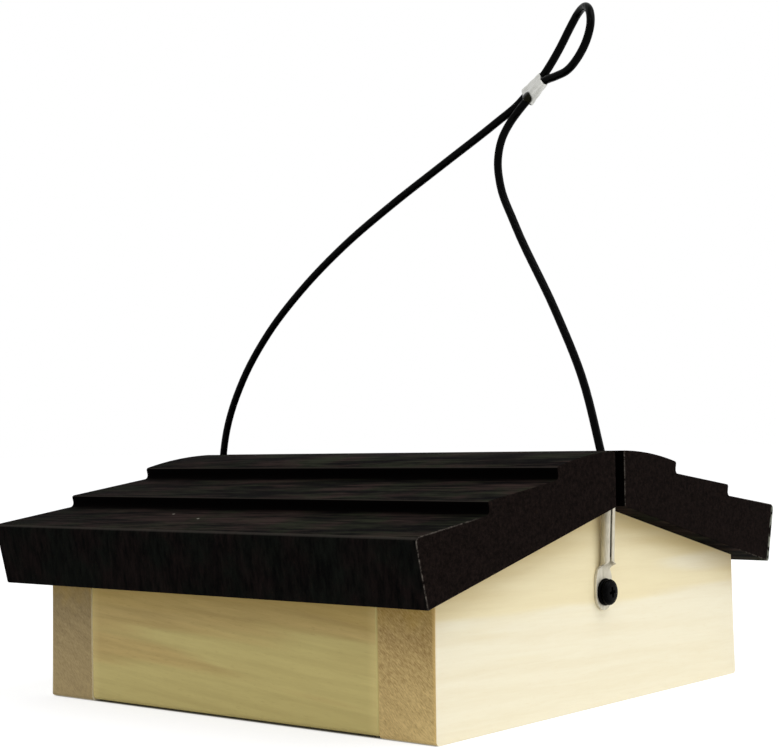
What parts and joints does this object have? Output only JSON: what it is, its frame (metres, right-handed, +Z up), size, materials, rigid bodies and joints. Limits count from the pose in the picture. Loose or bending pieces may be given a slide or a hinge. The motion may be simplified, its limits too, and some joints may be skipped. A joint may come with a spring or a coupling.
{
  "type": "upside-down suet feeder",
  "caption": "Wooden box feeder with a mesh floor that birds feed from below, a dark stepped roof that slides up a looped wire rope hanger, and rope ends in lugs screwed to the gables",
  "frame": {"origin": "The middle of the box's base, on the plane that its gable boards stand on; the box and the roof are centred on it", "axes": "+X runs to the right across the gables, +Y along the ridge from the pictured front gable to the rear one, +Z up"},
  "size_m": [0.1964, 0.1752, 0.2153],
  "materials": {
    "pale_board": "sanded pale poplar, unfinished",
    "tan_board": "planed poplar with a tan heart, unfinished",
    "stained_roof": "near-black satin stain over rough-sawn boards",
    "coated_wire": "black plastic coating on welded wire",
    "zinc_wire": "galvanised wire, bluntly cut",
    "tinned_sheet": "tinned sheet, slightly dulled",
    "black_steel": "black phosphated steel",
    "rope_coating": "glossy black coating over wire rope",
    "crimped_aluminium": "pressed aluminium, satin",
    "yellow_zinc": "yellow zinc plating"
  },
  "bodies": {
    "box": {"front_gable_board": "pale_board", "rear_gable_board": "pale_board", "left_side_board": "tan_board", "right_side_board": "tan_board", "mesh_floor": "coated_wire", "mesh_staples": "zinc_wire", "corner_brads": "zinc_wire", "front_cable_lug": "tinned_sheet", "rear_cable_lug": "tinned_sheet", "front_lug_washer": "black_steel", "rear_lug_washer": "black_steel", "front_lug_screw": "black_steel", "rear_lug_screw": "black_steel", "hanger_cable": "rope_coating", "crimp_ferrule": "crimped_aluminium"},
    "roof": {"left_roof_panel": "stained_roof", "right_roof_panel": "stained_roof", "ridge_cleat": "tan_board", "ridge_spacer": "stained_roof", "cleat_screws": "yellow_zinc"}
  },
  "joints": [
    {"name": "roof_lift", "type": "slide", "parent": "box", "child": "roof", "axis": [0, 0, 1], "range_m": [0, 0.06]}
  ]
}
